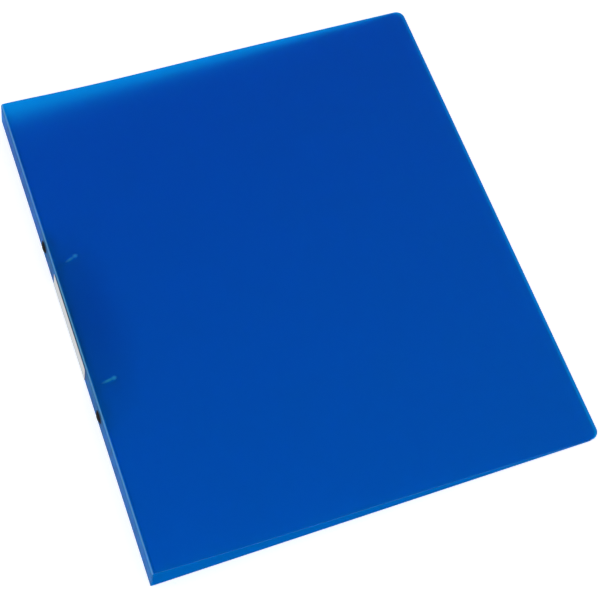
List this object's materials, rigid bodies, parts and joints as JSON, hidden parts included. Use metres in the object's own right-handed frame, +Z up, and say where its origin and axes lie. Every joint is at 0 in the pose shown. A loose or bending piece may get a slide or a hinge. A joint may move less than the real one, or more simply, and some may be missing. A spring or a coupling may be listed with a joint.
{
  "type": "ring binder",
  "caption": "A4 two-ring binder: a folded translucent plastic cover on living hinges, with a small riveted metal ring mechanism inside the spine.",
  "frame": {"origin": "centre of the closed binder's bounding box, at its base on the desk", "axes": "+X from the spine to the fore-edge, +Y along the spine to the binder's head, +Z up from the back cover to the front cover"},
  "size_m": [0.2672, 0.315, 0.0194],
  "materials": {
    "blue_sheet": "frosted translucent polypropylene, fine matt grain",
    "white_card": "matt white self-adhesive card",
    "nickel_steel": "nickel-plated pressed steel",
    "zinc_steel": "zinc-plated steel",
    "ring_wire": "bright nickel-plated wire",
    "dark_rivet": "dark lacquered steel, semi-gloss"
  },
  "bodies": {
    "back_cover": {"back_cover": "blue_sheet", "back_fold_crease": "blue_sheet"},
    "spine": {"spine_panel": "blue_sheet", "front_fold_crease": "blue_sheet", "spine_label": "white_card", "ring_case": "nickel_steel", "rivet_upper": "dark_rivet", "rivet_lower": "dark_rivet", "rivet_spacer_upper": "zinc_steel", "rivet_spacer_lower": "zinc_steel"},
    "front_cover": {"front_cover": "blue_sheet"},
    "front_ring_halves": {"hinge_blade_front": "zinc_steel", "ring_half_front_upper": "ring_wire", "ring_half_front_lower": "ring_wire"},
    "back_ring_halves": {"hinge_blade_back": "zinc_steel", "ring_half_back_upper": "ring_wire", "ring_half_back_lower": "ring_wire"}
  },
  "joints": [
    {"name": "back_fold", "type": "hinge", "parent": "back_cover", "child": "spine", "pos_m": [-0.133, 0, 0.0004], "axis": [0, -1, 0], "range_deg": [0, 88], "deforming": ["back_fold_crease"]},
    {"name": "front_fold", "type": "hinge", "parent": "spine", "child": "front_cover", "pos_m": [-0.1308, 0, 0.0191], "axis": [0, -1, 0], "range_deg": [0, 96], "deforming": ["front_fold_crease"]},
    {"name": "rings_open", "type": "hinge", "parent": "spine", "child": "front_ring_halves", "pos_m": [-0.12917, 0, 0.01505], "axis": [0, -1, 0], "range_deg": [0, 8.5]},
    {"name": "rings_open_back", "type": "hinge", "parent": "spine", "child": "back_ring_halves", "pos_m": [-0.13026, 0, 0.00572], "axis": [0, 1, 0], "range_deg": [0, 8.5]}
  ],
  "couplings": [
    {"joint": "rings_open_back", "follows": "rings_open", "ratio": 1}
  ]
}
